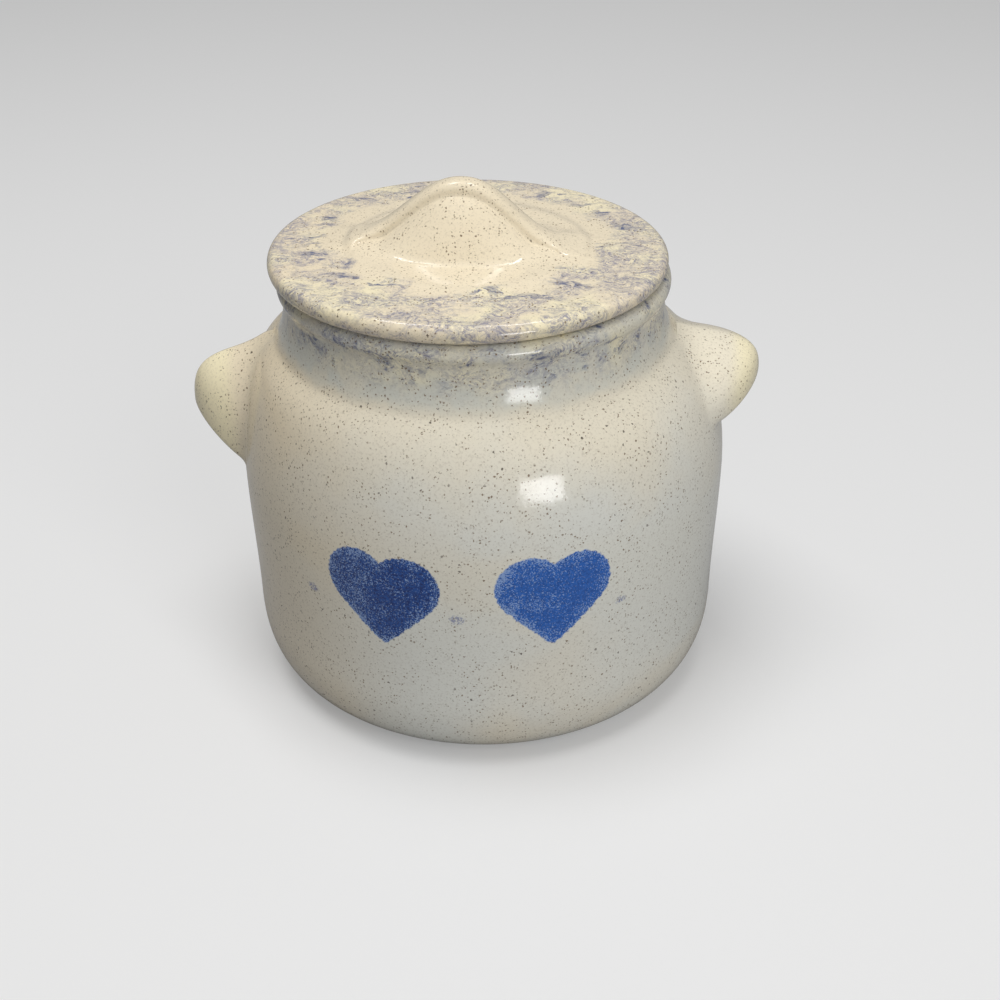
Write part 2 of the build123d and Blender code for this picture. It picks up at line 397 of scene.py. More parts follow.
def jar_outside(jar, ears, azimuth):
    """Rows of the jar's side with its ears, from the corner up to the neck's root.

    Each point lies on a ray from a ring inside the clay, as far out as the farther of the jar's wall
    and the hood of an ear, with the crease between them rounded. Towards the neck the rows shift
    sideways, by smooth steps of their radius and height, from the jar's own axis to the mouth's.
    """
    root = jar.belly_radius - ears.root_depth
    left, right = ear_facts(ears, "left"), ear_facts(ears, "right")
    level_left = edge_level(left, root, wrapped(azimuth - np.pi))
    level_right = edge_level(right, root, wrapped(azimuth))
    to_right = smooth_step(0.2, 0.8, (1 + np.cos(azimuth)) / 2)
    level = level_left + (level_right - level_left) * to_right
    side_r, side_z = side_grid(jar, level)

    centre_r, centre_z = root - 2 * MM, level + 5 * MM
    wall = np.hypot(side_r - centre_r, side_z - centre_z)
    direction = ((side_r - centre_r) / wall, (side_z - centre_z) / wall)
    distance = wall
    widest_turn, blend_rise = 1.2, 16 * MM
    for ear, heading in ((right, 0), (left, np.pi)):
        turn = np.clip(wrapped(azimuth - heading), -widest_turn, widest_turn)
        hood = hood_distance(ears, ear, root, (centre_r, centre_z), direction, turn)
        above = smooth_step(ear["edge"], ear["edge"] + blend_rise, side_z)
        blend = ears.blend_below + (ears.blend_above - ears.blend_below) * above
        distance = np.maximum(distance, smooth_max(wall, hood, blend))
    r = centre_r + distance * direction[0]
    z = centre_z + distance * direction[1]
    inwards = smooth_step(jar.shift_start, jar.shift_end, r)
    upwards = smooth_step(jar.belly_height, jar.belly_height + jar.shift_rise, z)
    x = JAR_X * (1 - inwards * upwards)
    return np.stack([x + r * np.cos(azimuth), r * np.sin(azimuth), z], axis=-1)


def ring(centre_x, r, z, azimuth):
    """One round row of points."""
    r, z = np.broadcast_to(r, azimuth.shape), np.broadcast_to(z, azimuth.shape)
    return np.stack([centre_x + r * np.cos(azimuth), r * np.sin(azimuth), z], axis=-1)


def arc(centre_r, centre_z, half_r, half_z, start, end, count):
    """Radii and heights along a stretch of an ellipse, its angles given in degrees."""
    angle = np.radians(np.linspace(start, end, count))
    return [(centre_r + half_r * np.cos(a), centre_z + half_z * np.sin(a)) for a in angle]


def foot_rows(jar, azimuth):
    """Rows under the jar: the recess, its step and the ring that stands on the table."""
    inner = jar.foot_radius - jar.foot_width
    outer = jar.belly_radius - jar.base_taper - jar.corner_width
    soft = 0.8 * MM
    line = [(share * (inner - soft), jar.foot_recess) for share in (0.25, 0.5, 0.75, 0.92)]
    line += arc(inner - soft, jar.foot_recess - soft, soft, soft, 90, 0, 4)
    line += arc(inner + soft, soft, soft, soft, 180, 270, 4)
    line += [(inner + (outer - inner) * share, 0) for share in (0.55, 0.8)]
    return [ring(JAR_X, r, z, azimuth) for r, z in line]


def rim_line(jar):
    """Radii and heights from the neck's waist over the rim and its land, and down the mouth's bore.

    The flare to the bead is a smooth step, less the share of the way times the share left times a
    slope that goes from the neck's to that of the bead's underside, so that it meets both smoothly.
    """
    undercut = 40
    _, waist_lean = neck_line(jar, jar.waist_height)
    rim_r = jar.waist_radius + jar.rim_swell
    bead = arc(rim_r - jar.rim_bead, jar.rim_height - jar.rim_bead, jar.rim_bead, jar.rim_bead,
               -undercut, 90, 13)
    share = np.linspace(0, 1, 9)[1:-1]
    rise = bead[0][1] - jar.waist_height
    slope = np.tan(waist_lean) * (1 - share) + np.tan(np.radians(undercut)) * share
    flare = (jar.waist_radius + (bead[0][0] - jar.waist_radius) * share ** 2 * (3 - 2 * share)
             - rise * share * (1 - share) * slope)
    line = [*zip(flare, jar.waist_height + rise * share), *bead]

    land = rim_r - jar.rim_bead - jar.rim_land
    soft = 1 * MM
    line += arc(land + soft, jar.rim_height - soft, soft, soft, 90, 150, 4)
    drop = land - jar.mouth_radius
    bore_high = jar.rim_height - 2 * drop
    line += arc(jar.mouth_radius + drop, bore_high, drop, drop, 150, 180, 3)
    lip = 2.5 * MM
    bore_low = jar.shoulder_height - jar.wall + lip
    line += [(jar.mouth_radius, bore_high + (bore_low - bore_high) * share) for share in (0.33, 0.66)]
    return line + arc(jar.mouth_radius + lip, bore_low, lip, lip, 180, 250, 6)


def neck_rows(jar, azimuth):
    """Rows of the round at the neck's root, the neck, its rolled rim and the bore of the mouth."""
    _, foot_z, slope = neck_foot(jar)
    centre_z = foot_z + jar.neck_root * np.cos(slope)
    centre_r, lean = neck_middle(jar, centre_z)
    angle = 1.5 * np.pi - slope + (slope + lean - np.pi / 2) * np.linspace(0, 1, 10)[1:]
    line = [*zip(centre_r + jar.neck_root * np.cos(angle), centre_z + jar.neck_root * np.sin(angle))]
    low_z = centre_z - jar.neck_root * np.sin(lean)
    neck_z = low_z + (jar.waist_height - low_z) * np.linspace(0, 1, 7)[1:]
    line += zip(neck_line(jar, neck_z)[0], neck_z)
    return [ring(0, r, z, azimuth) for r, z in line + rim_line(jar)]


def inside_rows(jar, azimuth):
    """Rows inside the jar, a wall's thickness from its outside, down to the floor."""
    r, z, along = jar_side(jar)
    inner_r = r - jar.wall * np.gradient(z, along)
    inner_z = np.maximum(z + jar.wall * np.gradient(r, along), jar.floor)
    keep = (z > 1 * MM) & (inner_r > jar.mouth_radius + 3 * MM)
    inner_r, inner_z = inner_r[keep][::-1], inner_z[keep][::-1]
    far = np.concatenate([[0], np.cumsum(np.hypot(np.diff(inner_r), np.diff(inner_z)))])
    at = np.linspace(0, far[-1], 30)
    line = [*zip(np.interp(at, far, inner_r), np.interp(at, far, inner_z))]
    line += [(inner_r[-1] * share, jar.floor) for share in (0.75, 0.5, 0.25)]
    return [ring(JAR_X, r, z, azimuth) for r, z in line]


def pot_object(jar, ears):
    """The jar with its neck, foot and ears, as one closed skin.

    Its columns crowd near the ears, by 0.3 of a sine of twice the azimuth.
    """
    columns = 420
    even = np.arange(columns) / columns * 2 * np.pi
    azimuth = even - 0.3 * np.sin(2 * even)
    rows = np.concatenate([foot_rows(jar, azimuth), jar_outside(jar, ears, azimuth),
                           neck_rows(jar, azimuth), inside_rows(jar, azimuth)])
    poles = np.array([[JAR_X, 0, jar.foot_recess], [JAR_X, 0, jar.floor]])
    index = np.arange(len(rows) * columns).reshape(-1, columns)
    faces = [grid_quads(index, closed=True), fan(index.size, index[0][::-1]),
             fan(index.size + 1, index[-1])]
    return make_mesh("pot", np.concatenate([rows.reshape(-1, 3), poles]), faces)


# ---------------------------------------------------------------- the lid

def ridge_plan(lid, x):
    """Half the width of the ridge's rolled crest, and of its foot, at a place along its line.

    The foot is an ellipse; the crest's roll spreads as the square of what the ellipse has lost.
    """
    foot = np.sqrt(np.clip(1 - ((x + lid.ridge_foot_offset) / lid.ridge_foot_length) ** 2, 0, 1))
    roll = lid.ridge_half_width + lid.ridge_spread * (1 - foot) ** 2
    return roll, roll + (lid.ridge_foot_width - lid.ridge_half_width) * foot + 2 * MM


def ridge_height(lid, rise, x, y):
    """Height of the ridge above the crown at a place on the lid.

    Along its line it is a bell: a half to the power of the distance over the reach, itself to the
    power 2.25. Across, the crest is the top half of a superellipse of power 2.6. Where it ends in a
    crease the flank starts almost level and falls to the foot as one less its share of the way to
    the power 1.3, so that it has a full shoulder of its own.
    """
    bell_power, crest_power, flank_power = 2.25, 2.6, 1.3
    uneven, largest_roll = 0.05, 0.62
    along = x + lid.ridge_offset
    reach = lid.ridge_reach * (1 - uneven * np.sign(along))
    bell = rise * 0.5 ** ((np.abs(along) / reach) ** bell_power)
    roll, foot = ridge_plan(lid, x)
    drop = np.minimum(lid.ridge_roll, largest_roll * bell)
    out = np.abs(y)
    round_share = np.clip(1 - (out / roll) ** crest_power, 0, 1) ** (1 / crest_power)
    crest = np.where(out < roll, bell - drop + drop * round_share, -1)
    share = np.clip((out - roll) / (foot - roll), 0, 2)
    flank = (bell - drop) * (1 - share ** flank_power)
    top = smooth_max(crest, flank, lid.ridge_crease)
    return np.maximum(smooth_max(top, 0 * top, lid.ridge_fillet), 0)


def lid_top_height(lid, top, x, y):
    """The lid's upper side: a flat border, a soft step up to the crown, and the ridge.

    The ridge leaves room for what the warp adds to it under the top of the lid's box.
    """
    far = np.hypot(x, y)
    step = 1.5 * MM
    crown = lid.crown_rise * smooth_step(lid.crown_radius + step, lid.crown_radius - step, far)
    room_for_warp = 0.35 * lid.warp
    rise = LID_HIGH[2] - top - lid.crown_rise - room_for_warp
    fade = smooth_step(0.8 * lid.radius, 0.66 * lid.radius, far)
    return top + crown + ridge_height(lid, rise, x, y) * fade


def lid_patch(lid, top, disc, columns):
    """A grid over the lid's top.

    Columns cross the disc at evenly turned places of its edge, and rows follow the ridge's crest,
    flanks and feet.
    """
    angle = np.linspace(0, np.pi, columns + 1)[1:-1][:, None]
    x = -disc * np.cos(angle)
    reach = disc * np.sin(angle)
    roll, foot = ridge_plan(lid, x)
    crest = np.minimum(roll, 0.3 * reach)
    flank = np.minimum(foot + 2 * MM, 0.7 * reach)
    edges = [np.zeros_like(reach), 0.7 * crest, 1.15 * crest, flank, reach]
    rows = (8, 14, 21, 13)
    half = [low + (high - low) * np.linspace(0, 1, count, endpoint=False)
            for low, high, count in zip(edges, edges[1:], rows)]
    half = np.concatenate([*half, reach], axis=1)
    y = np.concatenate([-half[:, :0:-1], half], axis=1)
    x = np.broadcast_to(x, y.shape)
    return np.stack([x, y, lid_top_height(lid, top, x, y)], axis=-1)


def lid_line(lid, rim_height, top, disc):
    """Radii and heights from the lid's top edge round its nose, seat and flange to its underside."""
    nose = lid.edge_thickness / 2
    line = arc(disc, top - nose, nose, nose, 90, -90, 17)[1:]
    line += [(lid.seat_radius + (disc - lid.seat_radius) * share,
              rim_height + (top - 2 * nose - rim_height) * share) for share in (0.6, 0.0)]
    inner = lid.flange_radius - lid.flange_thickness
    low, soft = rim_height - lid.flange_depth, 1.5 * MM
    line += [(lid.flange_radius + 3 * MM, rim_height), (lid.flange_radius + 0.4 * MM, rim_height)]
    line += [(lid.flange_radius, rim_height - share * lid.flange_depth) for share in (0.06, 0.4)]
    line += arc(lid.flange_radius - soft, low + soft, soft, soft, 0, -90, 6)
    line += arc(inner + soft, low + soft, soft, soft, 270, 180, 6)
    below = top - lid.plate
    line += [(inner, low + (below - low) * share) for share in (0.4, 0.85)]
    return line + [(inner - 1 * MM, below), (0.7 * inner, below), (0.35 * inner, below)]


def lid_object(lid, rim_height):
    """The lid as one closed skin, warped and turned: a grid over its top, and rings on from there.

    The warp lifts what is above the rim, by a smooth step of its height, more towards the left.
    """
    top = rim_height + lid.edge_lift + lid.edge_thickness
    disc = lid.radius - lid.edge_thickness / 2
    columns = 240
    patch = lid_patch(lid, top, disc, columns)
    ends = np.array([[-disc, 0, top], [disc, 0, top]])
    around = np.linspace(0, 2 * np.pi, 2 * columns, endpoint=False)
    rings = np.stack([ring(0, r, z, around + np.pi) for r, z in lid_line(lid, rim_height, top, disc)])
    middle = [[0, 0, top - lid.plate]]
    points = np.concatenate([patch.reshape(-1, 3), ends, rings.reshape(-1, 3), middle])

    patch_index = np.arange(patch[..., 0].size).reshape(patch.shape[:2])
    west, east = patch_index.size, patch_index.size + 1
    border = np.concatenate([[west], patch_index[:, 0], [east], patch_index[::-1, -1]])
    ring_index = np.arange(rings[..., 0].size).reshape(rings.shape[:2]) + patch_index.size + 2
    rows = np.concatenate([border[None, :], ring_index])
    fans = [np.stack([np.full(len(line) - 1, pole), line[:-1], line[1:]], axis=-1)
            for pole, line in ((west, patch_index[0][::-1]), (east, patch_index[-1]))]
    faces = [grid_quads(patch_index, closed=False), *fans,
             grid_quads(rows, closed=True), fan(ring_index.max() + 1, rows[-1])]

    above = smooth_step(rim_height + 0.2 * MM, top, points[:, 2])
    points[:, 2] += lid.warp * above * (0.3 - 0.6 * points[:, 0] / lid.radius)
    cos, sin = np.cos(lid.turn), np.sin(lid.turn)
    turned = np.stack([LID_X + points[:, 0] * cos - points[:, 1] * sin,
                       points[:, 0] * sin + points[:, 1] * cos, points[:, 2]], axis=-1)
    return make_mesh("lid_skin", turned, faces)


# ---------------------------------------------------------------- shader expressions

class Wire:
    """An output socket of a node; arithmetic on it adds Math nodes."""

    def __init__(self, tree, socket=None):
        self.tree, self.socket = tree, socket

    def node(self, kind, settings=None, inputs=None, output=0):
        """Adds a node: its settings first, then the values or links of its sockets."""
        made = self.tree.nodes.new(kind)
        for word, value in (settings or {}).items():
            if word == "stops":
                while len(made.color_ramp.elements) < len(value):
                    made.color_ramp.elements.new(0.5)
                for stop, (position, shade) in zip(made.color_ramp.elements, value):
                    stop.position, stop.color = position, shade
            else:
                setattr(made, word, value)
        for key, value in (inputs or {}).items():
            if isinstance(value, Wire):
                self.tree.links.new(value.socket, made.inputs[key])
            else:
                made.inputs[key].default_value = value
        return Wire(self.tree, made.outputs[output])

    def math(self, operation, *values):
        return self.node("ShaderNodeMath", {"operation": operation}, dict(enumerate(values)))

    def __add__(self, other):
        return self.math("ADD", self, other)

    def __sub__(self, other):
        return self.math("SUBTRACT", self, other)

    def __rsub__(self, other):
        return self.math("SUBTRACT", other, self)

    def __mul__(self, other):
        return self.math("MULTIPLY", self, other)

    def __truediv__(self, other):
        return self.math("DIVIDE", self, other)

    __radd__, __rmul__ = __add__, __mul__

    def least(self, other):
        return self.math("MINIMUM", self, other)

    def most(self, other):
        return self.math("MAXIMUM", self, other)

    def size(self):
        return self.math("ABSOLUTE", self)

    def hypotenuse(self, other):
        return self.math("SQRT", self * self + other * other)

    def step(self, low, high):
        """0 below low and 1 above high, smooth between; the other way round if low is the higher."""
        return self.node("ShaderNodeMapRange", {"interpolation_type": "SMOOTHSTEP"},
                         {"Value": self, "From Min": low, "From Max": high})


def mixed(low, high, share):
    """A colour between two, by a share."""
    wire = share if isinstance(share, Wire) else low if isinstance(low, Wire) else high
    return wire.node("ShaderNodeMix", {"data_type": "RGBA"}, {0: share, 6: low, 7: high}, output=2)


def scaled(vector, sizes):
    """A vector with each part multiplied by its own number."""
    return vector.node("ShaderNodeVectorMath", {"operation": "MULTIPLY"}, {0: vector, 1: sizes})


def noise(vector, cell, detail=2.0, roughness=0.5, distortion=0.0, output=0):
    """Soft noise whose lumps are about one cell wide, in metres."""
    return vector.node("ShaderNodeTexNoise", {}, {
        "Vector": vector, "Scale": 1 / cell, "Detail": detail, "Roughness": roughness,
        "Distortion": distortion}, output=output)


def pull(vector, other, amount):
    """A vector moved by a colour's distance from mid grey, times an amount in metres."""
    shift = vector.node("ShaderNodeVectorMath", {"operation": "SUBTRACT"}, {0: other, 1: (0.5,) * 3})
    shift = scaled(shift, (amount,) * 3)
    return vector.node("ShaderNodeVectorMath", {"operation": "ADD"}, {0: vector, 1: shift})


def linear(shade):
    """A screen colour as light, with alpha 1: below 0.04045 a twelfth, above it a power of 2.4."""
    return (*[c / 12.92 if c <= 0.04045 else ((c + 0.055) / 1.055) ** 2.4 for c in shade], 1.0)


class Glaze:
    """A material in the making: its places on the pot and its colours."""

    def __init__(self, name, colours):
        self.material = bpy.data.materials.new(name)
        self.material.use_nodes = True
        self.tree = self.material.node_tree
        self.shader = self.tree.nodes["Principled BSDF"]
        self.place = Wire(self.tree).node("ShaderNodeTexCoord", output="Object")
        parts = self.place.node("ShaderNodeSeparateXYZ", {}, {"Vector": self.place}).socket.node
        self.x, self.y, self.z = (Wire(self.tree, part) for part in parts.outputs)
        self.colours = {word: linear(getattr(colours, word)) for word in GlazeColours.__annotations__}

    def specks(self, cell, largest, share):
        """Iron specks: a share of the cells of a Voronoi pattern hold a ragged dot of their own size."""
        place = pull(self.place, noise(self.place, 0.5 * MM, output=1), 0.9 * MM)
        settings = {"feature": "F1", "voronoi_dimensions": "3D"}
        inputs = {"Vector": place, "Scale": 1 / cell, "Randomness": 1.0}
        distance = place.node("ShaderNodeTexVoronoi", settings, inputs)
        chance = Wire(self.tree, distance.socket.node.outputs["Color"])
        chance = chance.node("ShaderNodeSeparateColor", {}, {0: chance})
        size = (chance - (1 - share)) / share
        radius = size.most(0) * (largest / cell)
        return (radius - distance).step(0, 0.25 * largest / cell)

    def body(self):
        """The plain glaze: warm cream above, cool grey down the wall, tan in patches where the fire
        caught it, and painted shade as tan down the left side.
        """
        c = self.colours
        clouds = noise(self.place, 40 * MM, detail=3) - 0.5
        base = mixed(c["grey"], c["cream"], (self.z + clouds * (60 * MM)).step(70 * MM, 104 * MM))
        warm = noise(scaled(self.place, (1, 1, 1.6)), 55 * MM, detail=2, distortion=0.4)
        # Painted shade: the step in x gives the left side, which lies in shade, a warmer tan; the noise
        # adds tan patches of the glaze itself.
        tan_share = warm.step(0.52, 0.7) * 0.25 + self.x.step(-15 * MM, -65 * MM) * 0.75
        return mixed(base, c["tan"], tan_share)

    def speckled(self, base):
        """A colour with brown haze, faint crowded specks and a few dark ones over it."""
        c = self.colours
        haze = noise(self.place, 0.65 * MM, detail=3, roughness=0.6).step(0.48, 0.75)
        patch = noise(self.place, 9 * MM, detail=2).step(0.3, 0.6)
        faint = self.specks(0.8 * MM, 0.32 * MM, 0.9) * (0.35 + 0.6 * patch)
        dark = self.specks(2.3 * MM, 0.42 * MM, 0.65) * (0.45 + 0.4 * patch)
        shade = mixed(base, c["rust"], haze * 0.25)
        return mixed(mixed(shade, c["rust"], faint), c["speck"], dark)

    def sponged(self, base, mask, streaks):
        """Sponging: butter patches, lilac clouds of short torn strokes, and some dark streaks."""
        c = self.colours
        flow = pull(self.place, noise(self.place, 7 * MM, detail=2, output=1), 9 * MM)
        flow = scaled(flow, (0.55, 1, 1))
        butter = noise(self.place, 14 * MM, detail=2).step(0.42, 0.6)
        cloud = noise(flow, 7 * MM, detail=3, roughness=0.6).step(0.34, 0.56)
        fibres = noise(flow, 2.6 * MM, detail=6, roughness=0.75, distortion=0.6)
        torn = (fibres - 0.5).size().step(0.06, 0.0)
        mist = noise(flow, 1.0 * MM, detail=4, roughness=0.75).step(0.42, 0.62)
        dash = noise(scaled(flow, (0.7, 1.3, 1.3)), 5 * MM, detail=4, roughness=0.62).step(0.54, 0.60)
        shade = mixed(base, c["bright"], butter * mask * 0.7)
        shade = mixed(shade, c["lilac"], (torn * 0.5 + mist * 0.65).least(1) * cloud * mask * 0.9)
        return mixed(shade, c["slate"], dash * streaks * mask * (0.45 + 0.5 * mist))

    def finish(self, shade, roughness, ripple=0.15):
        """Colour, gloss and the fine orange-peel ripple of a fired glaze."""
        self.tree.links.new(shade.socket, self.shader.inputs["Base Color"])
        if isinstance(roughness, Wire):
            self.tree.links.new(roughness.socket, self.shader.inputs["Roughness"])
        else:
            self.shader.inputs["Roughness"].default_value = roughness
        peel = noise(self.place, 2.2 * MM, detail=2) + noise(self.place, 7 * MM, detail=1) * 1.5
        peel = peel + noise(self.place, 0.8 * MM, detail=2) * 0.35
        bump = peel.node("ShaderNodeBump", {}, {
            "Strength": ripple, "Distance": 0.25 * MM, "Height": peel})
        self.tree.links.new(bump.socket, self.shader.inputs["Normal"])
        self.shader.inputs["IOR"].default_value = 1.5
        return self.material


def heart(glaze, azimuth, around, tip_height, scale):
    """How far inside a heart a place is, as a share of the heart's height.

    The heart is a square on its corner with a disc on each upper side, mirrored about its middle;
    its lower corner is blunt, because the distance from the middle never counts as quite nothing.
    """
    x = ((around - azimuth) * (PRINT_RADIUS / scale)).size()
    y = (glaze.z - tip_height) / scale
    lobe = (x - 0.25).hypotenuse(y - 0.75) - np.sqrt(0.125)
    point = (x.hypotenuse(0.05) - y).most(x + y - 1) * np.sqrt(0.5)
    return 0 - lobe.least(point)


def dab(glaze, azimuth, around, height, half_width, half_height):
    """How far inside a small oval dab a place is, 1 at its middle and 0 at its edge."""
    x = (around - azimuth) * (PRINT_RADIUS / half_width)
    y = (glaze.z - height) / half_height
    return 1 - x.hypotenuse(y)


def hearts(glaze, base):
    """Two sponge-printed hearts and the small dabs beside them, on the front of the jar.

    The print is dense in the middle and lets pale flecks through towards its edges and its left;
    the right heart is the brighter one.
    """
    c = glaze.colours
    around = (glaze.x - JAR_X).math("ARCTAN2", glaze.x - JAR_X, 0 - glaze.y)
    front = glaze.y.step(0, -1 * MM)
    ragged = noise(glaze.place, 1.1 * MM, detail=3) - 0.5
    left = heart(glaze, np.radians(-23.4), around, 40.3 * MM, 27.9 * MM)
    right = heart(glaze, np.radians(14.8), around, 41.8 * MM, 27.4 * MM)
    inside = left.most(right) + ragged * 0.06
    left_end, right_end = np.radians((-36, 2))
    on_right = around.step(-0.12, 0.0)
    to_left = (around - left_end - on_right * (right_end - left_end)).step(0.32, 0.02)
    grain = noise(glaze.place, 0.42 * MM, detail=3, roughness=0.65)
    blotch = noise(glaze.place, 5 * MM, detail=3)
    thin = inside.step(0.12, 0.0) * 0.08 + to_left * 0.05 + (blotch - 0.5) * 0.25
    pale = (grain + thin).step(0.57, 0.65)
    flecks = noise(glaze.place, 0.7 * MM, detail=3, roughness=0.7).step(0.38, 0.6)
    blue = mixed(c["navy"], c["cobalt"], flecks * 0.45 + on_right * 0.5)
    shade = mixed(base, mixed(blue, c["frost"], pale * 0.8), inside.step(-0.004, 0.014) * front)

    # Each dab's turn from the front in degrees, its level, half width and half height in millimetres.
    places = ((-42.5, 52, 2.6, 1.7), (-6.4, 52.8, 2.7, 1.7), (31.2, 52, 2.2, 1.3))
    first, second, third = (dab(glaze, np.radians(turn), around, level * MM, across * MM, tall * MM)
                            for turn, level, across, tall in places)
    spot = first.most(second).most(third) + ragged * 1.4
    spot_mask = grain.step(0.40, 0.56) * spot.step(0.0, 0.5) * front
    return mixed(shade, mixed(c["lilac"], c["cobalt"], flecks * 0.5), spot_mask * 0.8)


def sponged_neck(glaze, base, jar):
    """A grey haze from the neck's root up, partly blurred sponging and partly painted shade under the
    lid, and torn blue marks on the neck's upper half and rim.
    """
    wander = noise(glaze.place, 9 * MM, detail=3) - 0.5
    above = glaze.z - jar.shoulder_height
    outside = (glaze.x - JAR_X).hypotenuse(glaze.y).step(
        jar.mouth_radius + 0.5 * MM, jar.mouth_radius + 2 * MM)
    haze = (above - wander * (5 * MM)).step(-0.8 * MM, 3.2 * MM) * outside
    marks = (above - wander * (14 * MM)).step(2.2 * MM, 10.2 * MM) * outside
    blurred = noise(glaze.place, 9 * MM, detail=4, roughness=0.6).step(0.4, 0.6)
    # Painted shade: the grey haze over the neck also stands for the lid's shadow on it, besides blurred
    # sponging.
    base = mixed(base, glaze.colours["smoke"], (0.6 + 0.4 * blurred) * haze)
    return glaze.sponged(base, marks * (0.35 + 0.65 * blurred), blurred * 0.9 + 0.1)


def pot_glaze(colours, jar):
    """Cream glaze, ears lightened by painted light, a toasted bottom, sponged neck, hearts, and a bare
    foot.
    """
    glaze = Glaze("pot_glaze", colours)
    c = glaze.colours
    reach = (glaze.x - JAR_X).hypotenuse(glaze.y)
    # Painted light: the ears are lightened towards the butter colour, as their tops face the light.
    ear = reach.step(jar.belly_radius - 1 * MM, jar.belly_radius + 5 * MM)
    base = mixed(glaze.body(), c["bright"], ear * 0.85)
    tan_share = glaze.z.step(26 * MM, 6 * MM) * noise(glaze.place, 30 * MM).step(0.4, 0.65)
    base = mixed(base, c["tan"], tan_share * 0.5)
    shade = hearts(glaze, glaze.speckled(sponged_neck(glaze, base, jar)))
    wander = noise(glaze.place, 12 * MM) * (1.2 * MM)
    bare = (wander - glaze.z).step(0.1 * MM, 0.5 * MM)
    shade = mixed(shade, c["clay"], bare)
    return glaze.finish(shade, bare * (CLAY_ROUGHNESS - GLAZE_ROUGHNESS) + GLAZE_ROUGHNESS)


def lid_glaze(colours, lid):
    """Tan crown and ridge with specks, and a sponged border that wanders in and out."""
    glaze = Glaze("lid_glaze", colours)
    base = mixed(glaze.body(), glaze.colours["tan"], 0.7)
    reach = (glaze.x - LID_X).hypotenuse(glaze.y)
    wander = (noise(glaze.place, 13 * MM, detail=4) - 0.5) * (24 * MM)
    narrower_at_back = glaze.y.step(-25 * MM, 15 * MM) * (8 * MM)
    depth = reach + wander - narrower_at_back - lid.crown_radius
    border = depth.step(-2 * MM, 3 * MM)
    inner = depth.step(14 * MM, 3 * MM)
    shade = glaze.speckled(glaze.sponged(base, border, 0.25 + 0.75 * inner))
    return glaze.finish(shade, GLAZE_ROUGHNESS)


# ---------------------------------------------------------------- operators

class BEANPOT_OT_jar(bpy.types.Operator):
    """Build the glazed jar with its neck, foot and ear lugs"""

    bl_idname = "beanpot.jar"
    bl_label = "Jar and Ears"

    def execute(self, context):
        scene = context.scene
        made = pot_object(scene.beanpot_jar, scene.beanpot_ears)
        made.data.materials.append(pot_glaze(scene.beanpot_glaze, scene.beanpot_jar))
        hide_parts("pot_body", "lug_left", "lug_right")
        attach(made, "pot")
        return {"FINISHED"}


class BEANPOT_OT_lid(bpy.types.Operator):
    """Build the glazed lid with its ridge handle"""

    bl_idname = "beanpot.lid"
    bl_label = "Lid"

    def execute(self, context):
        scene = context.scene
        made = lid_object(scene.beanpot_lid, scene.beanpot_jar.rim_height)
        made.data.materials.append(lid_glaze(scene.beanpot_glaze, scene.beanpot_lid))
        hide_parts("lid")
        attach(made, "lid")
        return {"FINISHED"}


def stage_material():
    """A floor that is pale to the camera, half as much in the glaze, and gives little light back."""
    material = bpy.data.materials.new("stage_floor")
    material.use_nodes = True
    tree = material.node_tree
    shader = tree.nodes["Principled BSDF"]
    camera = Wire(tree).node("ShaderNodeLightPath", output="Is Camera Ray")
    glossy = Wire(tree).node("ShaderNodeLightPath", output="Is Glossy Ray")
    lit, pale, glow = ((level, level, level, 1) for level in (0.30, 0.62, 0.24))
    shade = mixed(lit, pale, camera.most(glossy * 0.5))
    tree.links.new(shade.socket, shader.inputs["Base Color"])
    tree.links.new(mixed((0, 0, 0, 1), glow, camera).socket, shader.inputs["Emission Color"])
    shader.inputs["Emission Strength"].default_value = 1
    shader.inputs["Roughness"].default_value = 0.8
    shader.inputs["Specular IOR Level"].default_value = 0.2
    return material


def studio_world():
    """Even light from all sides, and a paler backdrop for the camera."""
    room_light, backdrop = 0.24, 0.40
    world = bpy.data.worlds.new("studio")
    world.use_nodes = True
    tree = world.node_tree
    background = tree.nodes["Background"]
    background.inputs["Color"].default_value = (1, 1, 1, 1)
    camera_ray = Wire(tree).node("ShaderNodeLightPath", output="Is Camera Ray")
    strength = camera_ray * (backdrop - room_light) + room_light
    tree.links.new(strength.socket, background.inputs["Strength"])
    return world


def softbox(name, place, aim, across, tall, radiance, mirrored=False):
    """A soft rectangular lamp that looks at a point; its power is its radiance times pi and area.

    Only a mirrored lamp shows in the glaze, as a window would, and it leaves the floor alone; the
    others light everything, as a room does.
    """
    lamp = bpy.data.lights.new(name, "AREA")
    lamp.shape = "RECTANGLE"
    lamp.size = across
    lamp.size_y = tall
    lamp.energy = radiance * np.pi * across * tall
    made = bpy.data.objects.new(name, lamp)
    made.location = place
    made.rotation_euler = (Vector(aim) - Vector(place)).to_track_quat("-Z", "Y").to_euler()
    made.visible_camera = False
    made.visible_glossy = mirrored
    if mirrored:
        made.light_linking.receiver_collection = bpy.data.collections["in_window_light"]
    bpy.context.scene.collection.objects.link(made)


def lamps():
    """A broad lamp overhead, one from the front right, and three that show in the glaze."""
    middle, lid_level = (0, 0, 0.08), (0, 0, 0.13)
    softbox("lamp_over", (-0.12, -0.08, 1.2), middle, across=0.8, tall=0.7, radiance=4.9)
    softbox("lamp_side", (0.42, -0.80, 0.70), middle, across=0.5, tall=0.5, radiance=3.2)
    for name, x in (("lamp_ceiling_left", -0.28), ("lamp_ceiling_right", 0.21)):
        softbox(name, (x, 0.45, 1.3), lid_level, across=0.36, tall=0.12, radiance=13, mirrored=True)
    softbox("lamp_window", (0.33, -0.69, 0.155), (0.017, -0.066, 0.092),
            across=0.235, tall=0.185, radiance=9, mirrored=True)


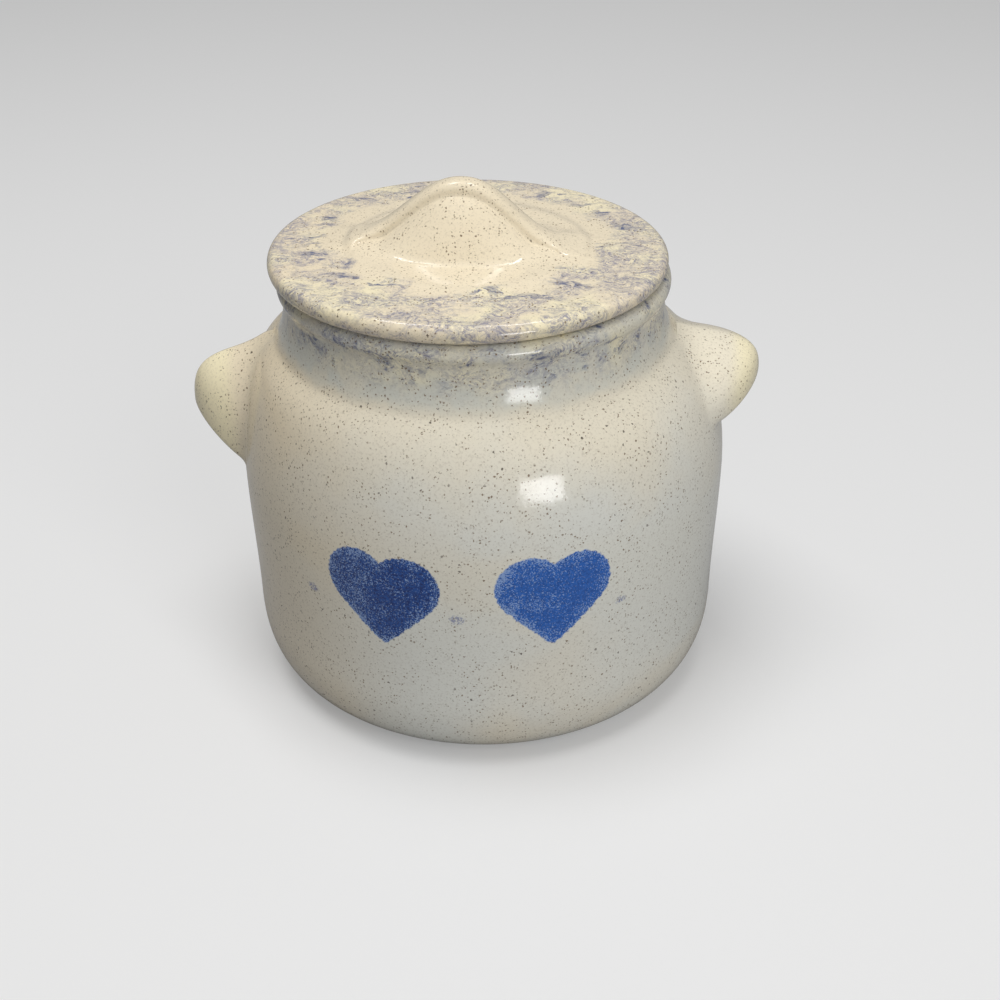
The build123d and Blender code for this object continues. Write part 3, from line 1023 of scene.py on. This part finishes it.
class BEANPOT_OT_stage(bpy.types.Operator):
    """Set the floor, the soft lamps and the camera"""

    bl_idname = "beanpot.stage"
    bl_label = "Stage"

    def execute(self, context):
        scene = context.scene
        lit = bpy.data.collections.new("in_window_light")
        for piece in scene.objects:
            if piece.type == "MESH":
                lit.objects.link(piece)
        half = 3.0
        corners = np.array([[-half, -half, 0], [half, -half, 0], [half, half, 0], [-half, half, 0]])
        floor = make_mesh("floor", corners, [np.array([[0, 1, 2, 3]])])
        floor.data.materials.append(stage_material())
        lamps()
        scene.world = studio_world()
        scene.camera = bpy.data.objects.new("camera", bpy.data.cameras.new("camera"))
        scene.collection.objects.link(scene.camera)
        set_camera(scene.camera)
        scene.view_settings.view_transform = "Standard"
        return {"FINISHED"}


def set_camera(camera):
    """Looks down on the front of the pot from arm's length, a little askew."""
    distance, height = 397.45 * MM, 288.73 * MM
    pitch, yaw, roll = np.radians((31.27, 0.673, -0.499))
    focal_in_widths = 1.5
    forward = Vector((np.sin(yaw) * np.cos(pitch), np.cos(yaw) * np.cos(pitch), -np.sin(pitch)))
    level = Vector((np.cos(yaw), -np.sin(yaw), 0))
    upright = level.cross(forward)
    right = np.cos(roll) * level + np.sin(roll) * upright
    up = np.cos(roll) * upright - np.sin(roll) * level
    turn = Matrix((right, up, -forward)).transposed()
    camera.matrix_world = Matrix.Translation((JAR_X, -distance, height)) @ turn.to_4x4()
    camera.data.sensor_fit = "HORIZONTAL"
    camera.data.lens = focal_in_widths * camera.data.sensor_width
    camera.data.clip_start, camera.data.clip_end = 0.01, 20


class BEANPOT_PT_panel(bpy.types.Panel):
    """Lists the pieces of the pot"""

    bl_idname = "BEANPOT_PT_panel"
    bl_label = "Bean Pot"
    bl_space_type = "VIEW_3D"
    bl_region_type = "UI"
    bl_category = "Bean Pot"

    def draw(self, context):
        for operator in OPERATORS:
            self.layout.operator(operator.bl_idname)
        for group in (context.scene.beanpot_jar, context.scene.beanpot_ears,
                      context.scene.beanpot_lid, context.scene.beanpot_glaze):
            box = self.layout.box()
            for word in group.__annotations__:
                box.prop(group, word)


GROUPS = {"beanpot_jar": JarSizes, "beanpot_ears": EarSizes, "beanpot_lid": LidSizes,
          "beanpot_glaze": GlazeColours}
OPERATORS = (BEANPOT_OT_jar, BEANPOT_OT_lid, BEANPOT_OT_stage)


def register():
    for cls in (*GROUPS.values(), *OPERATORS, BEANPOT_PT_panel):
        bpy.utils.register_class(cls)
    for word, group in GROUPS.items():
        setattr(bpy.types.Scene, word, bpy.props.PointerProperty(type=group))


def unregister():
    for word in GROUPS:
        delattr(bpy.types.Scene, word)
    for cls in (BEANPOT_PT_panel, *reversed(OPERATORS), *reversed(GROUPS.values())):
        bpy.utils.unregister_class(cls)


def main():
    register()
    bpy.ops.beanpot.jar()
    bpy.ops.beanpot.lid()
    bpy.ops.beanpot.stage()


if __name__ == "__main__":
    main()
